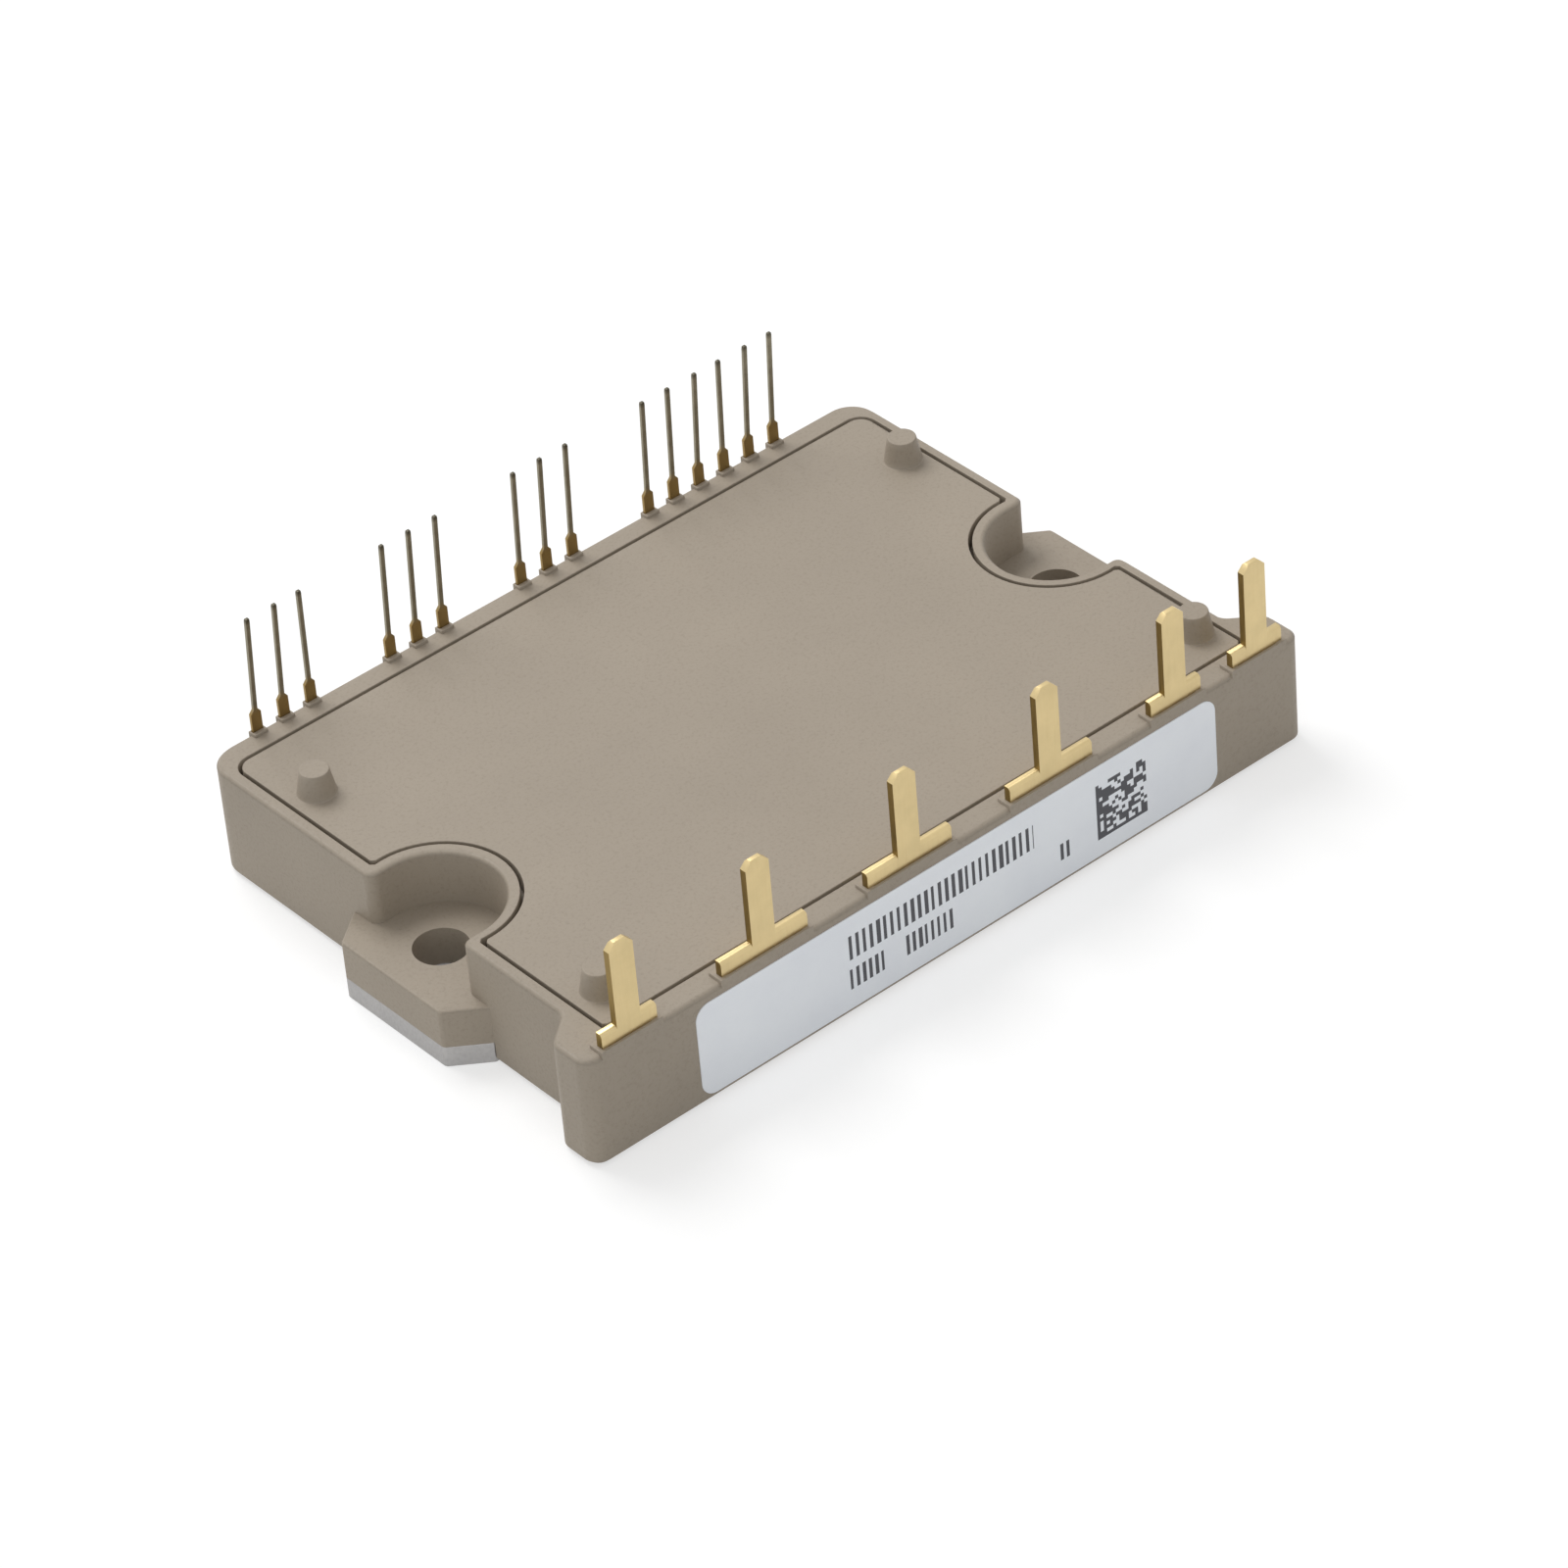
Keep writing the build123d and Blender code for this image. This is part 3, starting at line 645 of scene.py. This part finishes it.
class POWERMODULE_OT_tabs(bpy.types.Operator):
    """Round the stamped edges of the main terminals and plate them"""

    bl_idname = "powermodule.tabs"
    bl_label = "Main Terminals"

    def execute(self, context):
        settings = context.scene.module_terminals
        plating = plated_gold(settings)
        sheared = sheared_metal_painted_shade(settings)
        for number, node in enumerate(tab_nodes, start=1):
            tab = softened(node, f"stamped_tab_{number}", settings.tab_edge_radius)
            wear(tab, plating)
            # The side faces get the darker finish, which is painted shade
            tab.data.materials.append(sheared)
            for face in tab.data.polygons:
                face.material_index = 1 if abs(face.normal.x) > SHEARED_SHADED_NORMAL else 0
        return {"FINISHED"}


class POWERMODULE_OT_pins(bpy.types.Operator):
    """Round the edges of the thin control pins and plate them"""

    bl_idname = "powermodule.pins"
    bl_label = "Control Pins"

    def execute(self, context):
        settings = context.scene.module_terminals
        material = plated_pin_with_painted_light(settings)
        for number, (node, slope) in enumerate(zip(pin_nodes, PIN_LEANS, strict=True), start=1):
            pin = softened(node, f"thin_pin_{number:02d}", settings.pin_edge_radius)
            lean(pin, PIN_SHOULDER_TOP, settings.pin_bend * slope)
            wear(pin, material)
        coat("link_pins", material)
        return {"FINISHED"}


class POWERMODULE_OT_base_plate(bpy.types.Operator):
    """Round the punched edges of the base plate and finish its metal"""

    bl_idname = "powermodule.base_plate"
    bl_label = "Base Plate"

    def execute(self, context):
        settings = context.scene.module_plate
        plate = softened("base_plate", "punched_base_plate", settings.edge_radius)
        wear(plate, rolled_plate(settings))
        coat("base_seal", plain_finish("sealant", (0.75, 0.74, 0.70), 0.55, lumps=1200.0))
        return {"FINISHED"}


class POWERMODULE_OT_label(bpy.types.Operator):
    """Finish the label and lay out its generic print"""

    bl_idname = "powermodule.label"
    bl_label = "Label"

    def execute(self, context):
        coat("label", printed_label(context.scene.module_label))
        return {"FINISHED"}


class POWERMODULE_OT_power_stage(bpy.types.Operator):
    """Finish the chips, lands, solder, wires, insulation and gel inside"""

    bl_idname = "powermodule.power_stage"
    bl_label = "Power Stage"

    def execute(self, context):
        coat_by_slot({
            "copper": plain_finish("bare_copper", (0.72, 0.38, 0.22), 0.38, 1.0, 700.0),
            "silicon": plain_finish("chip_silicon", (0.20, 0.20, 0.23), 0.25, 0.4, 1500.0, 0.06),
            "solder": plain_finish("tin_solder", (0.55, 0.55, 0.56), 0.35, 1.0, 2200.0, 0.15, 0.01),
            "wire_metal": plain_finish("drawn_wire", (0.75, 0.75, 0.76), 0.3, 1.0, 3000.0),
            "insulation": plain_finish("filled_resin", (0.70, 0.70, 0.66), 0.6, 0.0, 2600.0),
            "gel": plain_finish("soft_gel", (0.80, 0.80, 0.78), 0.2, 0.0, 140.0, 0.04),
        })
        return {"FINISHED"}


class POWERMODULE_OT_control_board(bpy.types.Operator):
    """Finish the control board and the parts on it"""

    bl_idname = "powermodule.control_board"
    bl_label = "Control Board"

    def execute(self, context):
        coat_by_slot({
            "board_laminate": plain_finish("green_laminate", (0.05, 0.22, 0.10), 0.4, 0.0, 1800.0),
            "package_plastic": plain_finish("black_package", (0.03, 0.03, 0.03), 0.55, 0.0, 4200.0, 0.3),
            "capacitor_ceramic": plain_finish("brown_ceramic", (0.45, 0.33, 0.22), 0.4, 0.0, 2400.0),
            "resistor_ceramic": plain_finish("black_film", (0.05, 0.05, 0.06), 0.35, 0.0, 2400.0, 0.2),
        })
        return {"FINISHED"}


def white_where_seen(tree, level):
    """Background light of the given level, white for what the camera and the gloss see."""
    tree.nodes.clear()
    mixed = tree.nodes.new("ShaderNodeMixShader")
    tree.links.new(looked_at(tree), mixed.inputs["Fac"])
    for socket, strength in zip(list(mixed.inputs)[1:], (level, 1.0)):
        light = tree.nodes.new("ShaderNodeBackground")
        light.inputs["Color"].default_value = WHITE
        light.inputs["Strength"].default_value = strength
        tree.links.new(light.outputs["Background"], socket)
    world = tree.nodes.new("ShaderNodeOutputWorld")
    tree.links.new(mixed.outputs["Shader"], world.inputs["Surface"])


def pale_floor(settings):
    """Matte floor, white for what the camera and the gloss see, a little darker for its bounced light."""
    finish = Finish("pale_floor", roughness=0.9)
    finish.shader.inputs["Specular IOR Level"].default_value = 0.0
    finish.shader.inputs["Emission Color"].default_value = WHITE
    seen = looked_at(finish.material.node_tree)
    shown = shade(tuple(settings.floor_colour), settings.shadow_depth)
    grain = finish.noise(900.0, detail=2.0, rough=0.5)
    colour = finish.toned(grain, shown, 0.995, 1.0, low=0.2, high=0.8)
    finish.colour(finish.blend(seen, FLOOR_BOUNCE_COLOUR, colour))
    glow = finish.math("MULTIPLY", seen, settings.floor_glow)
    finish.plug(finish.shader.inputs["Emission Strength"], glow)
    return finish.material


def add_floor(scene, settings):
    """Lay a square of floor round the origin."""
    shape = bmesh.new()
    bmesh.ops.create_grid(shape, x_segments=1, y_segments=1, size=FLOOR_HALF_WIDTH)
    mesh = bpy.data.meshes.new("floor")
    shape.to_mesh(mesh)
    shape.free()
    floor = bpy.data.objects.new("floor", mesh)
    scene.collection.objects.link(floor)
    mesh.materials.append(pale_floor(settings))


def add_lamp(scene, name, place, size, power, colour):
    """Hang a square soft lamp that faces the object."""
    lamp = bpy.data.lights.new(name, "AREA")
    lamp.shape = "SQUARE"
    lamp.size = size
    lamp.energy = power
    lamp.color = colour
    holder = bpy.data.objects.new(name, lamp)
    holder.location = place
    holder.rotation_euler = (Vector(LAMP_AIM) - Vector(place)).to_track_quat("-Z", "Y").to_euler()
    scene.collection.objects.link(holder)


def add_camera(scene, settings):
    """Stand the camera where the photo was taken."""
    view = bpy.data.cameras.new("photo_view")
    view.sensor_width = SENSOR_WIDTH
    view.lens = settings.focal_length
    view.shift_x = CAMERA_SHIFT_X
    view.shift_y = CAMERA_SHIFT_Y
    view.clip_start = CLIP_START
    view.clip_end = CLIP_END
    camera = bpy.data.objects.new("photo_view", view)
    camera.location = CAMERA_PLACE
    camera.rotation_euler = Euler(tuple(math.radians(angle) for angle in CAMERA_TURN))
    scene.collection.objects.link(camera)
    scene.camera = camera


class POWERMODULE_OT_stage(bpy.types.Operator):
    """Lay the floor, hang the lamps and aim the camera"""

    bl_idname = "powermodule.stage"
    bl_label = "Floor, Lamps and Camera"

    def execute(self, context):
        scene = context.scene
        settings = scene.module_stage
        add_floor(scene, settings)
        scene.world = scene.world or bpy.data.worlds.new("even_light")
        scene.world.use_nodes = True
        white_where_seen(scene.world.node_tree, settings.sky_level)
        add_lamp(
            scene, "overhead_lamp", OVERHEAD_PLACE, OVERHEAD_SIZE, settings.key_power, OVERHEAD_COLOUR
        )
        add_lamp(scene, "left_lamp", LEFT_PLACE, LEFT_SIZE, settings.side_power, LEFT_COLOUR)
        add_camera(scene, settings)
        scene.view_settings.view_transform = "Standard"
        return {"FINISHED"}


STEPS = (
    POWERMODULE_OT_moulding,
    POWERMODULE_OT_tabs,
    POWERMODULE_OT_pins,
    POWERMODULE_OT_base_plate,
    POWERMODULE_OT_label,
    POWERMODULE_OT_power_stage,
    POWERMODULE_OT_control_board,
    POWERMODULE_OT_stage,
)

SETTINGS = (
    ("module_moulding", MouldingSettings),
    ("module_terminals", TerminalSettings),
    ("module_plate", PlateSettings),
    ("module_label", LabelSettings),
    ("module_stage", StageSettings),
)


class POWERMODULE_PT_panel(bpy.types.Panel):
    """Lists the steps that dress the module, and their settings"""

    bl_idname = "POWERMODULE_PT_panel"
    bl_label = "Power Module"
    bl_space_type = "VIEW_3D"
    bl_region_type = "UI"
    bl_category = "Power Module"

    def draw(self, context):
        layout = self.layout
        for step in STEPS:
            layout.operator(step.bl_idname)
        for name, group in SETTINGS:
            box = layout.box()
            for field in group.__annotations__:
                box.prop(getattr(context.scene, name), field)


def register():
    """Add the settings, the steps and the panel to Blender."""
    for name, group in SETTINGS:
        bpy.utils.register_class(group)
        setattr(bpy.types.Scene, name, PointerProperty(type=group))
    for step in STEPS:
        bpy.utils.register_class(step)
    bpy.utils.register_class(POWERMODULE_PT_panel)


def unregister():
    """Take them all out again."""
    bpy.utils.unregister_class(POWERMODULE_PT_panel)
    for step in reversed(STEPS):
        bpy.utils.unregister_class(step)
    for name, group in reversed(SETTINGS):
        delattr(bpy.types.Scene, name)
        bpy.utils.unregister_class(group)


def main():
    """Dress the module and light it."""
    register()
    bpy.ops.powermodule.moulding()
    bpy.ops.powermodule.tabs()
    bpy.ops.powermodule.pins()
    bpy.ops.powermodule.base_plate()
    bpy.ops.powermodule.label()
    bpy.ops.powermodule.power_stage()
    bpy.ops.powermodule.control_board()
    bpy.ops.powermodule.stage()


if __name__ == "__main__":
    main()
